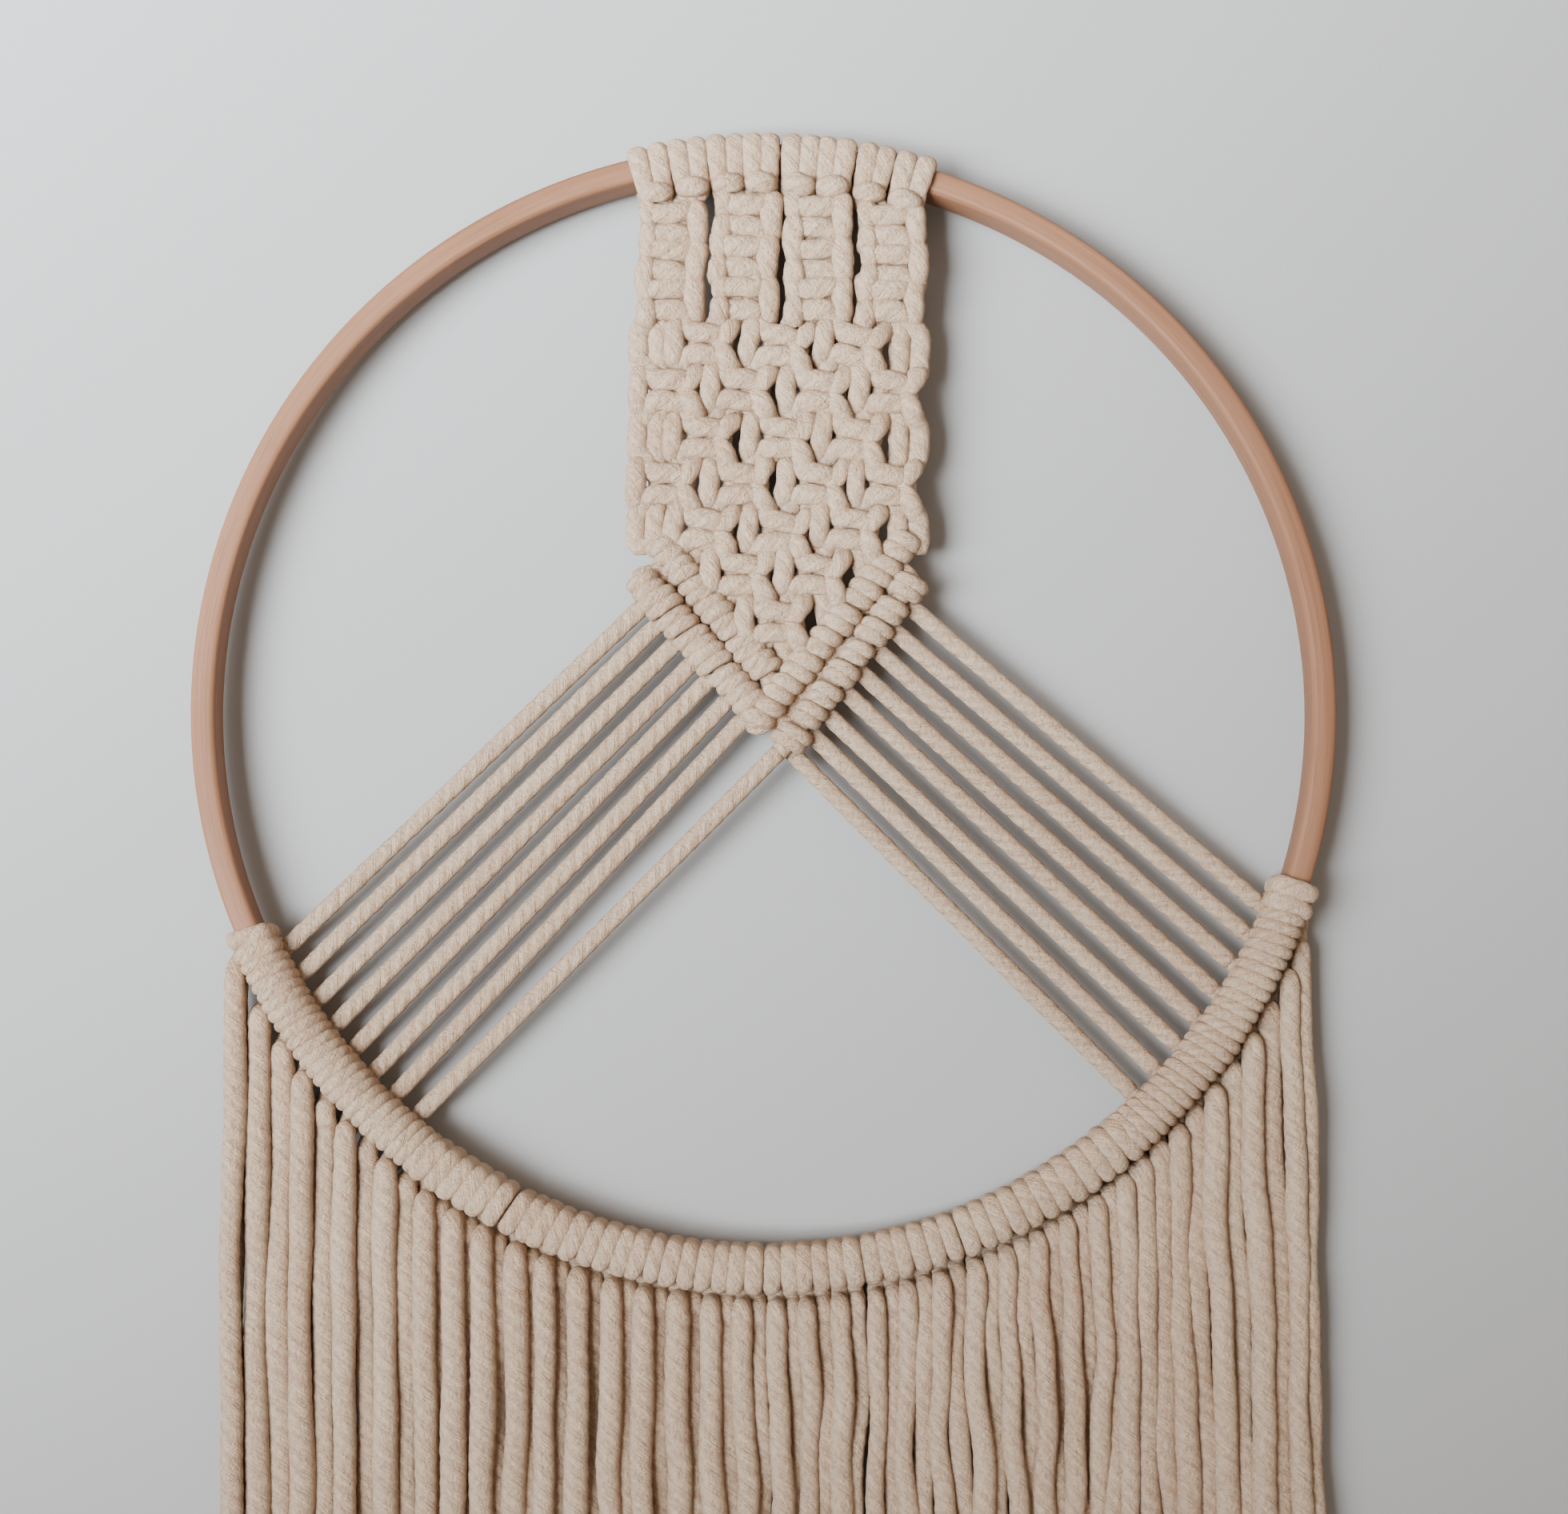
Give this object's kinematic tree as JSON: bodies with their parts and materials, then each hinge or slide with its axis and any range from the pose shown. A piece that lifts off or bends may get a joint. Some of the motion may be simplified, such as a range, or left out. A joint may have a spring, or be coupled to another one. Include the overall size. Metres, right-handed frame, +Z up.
{
  "type": "macrame wall hanging on a wooden hoop",
  "caption": "Round wooden hoop with a knotted cotton panel at its top, diagonal stay cords to its lower arc and a long cord fringe hanging below.",
  "frame": {"origin": "the point of the hoop's inner face at twelve o'clock, halfway through its depth, where a nail in the wall carries the hanging", "axes": "+X to the right of someone facing the hanging, +Y from its front to the wall, +Z up; the fringe hangs along -Z"},
  "size_m": [0.2998, 0.0186, 0.6497],
  "materials": {
    "bent_beech": "unvarnished, fine straight grain",
    "cotton_cord": "matt, soft twisted strand"
  },
  "bodies": {
    "root": {"hoop": "bent_beech", "knotted_panel": "cotton_cord", "stays_left": "cotton_cord", "stays_right": "cotton_cord", "fringe_left": "cotton_cord", "fringe_middle_left": "cotton_cord", "fringe_middle": "cotton_cord", "fringe_middle_right": "cotton_cord", "fringe_right": "cotton_cord"}
  },
  "joints": []
}
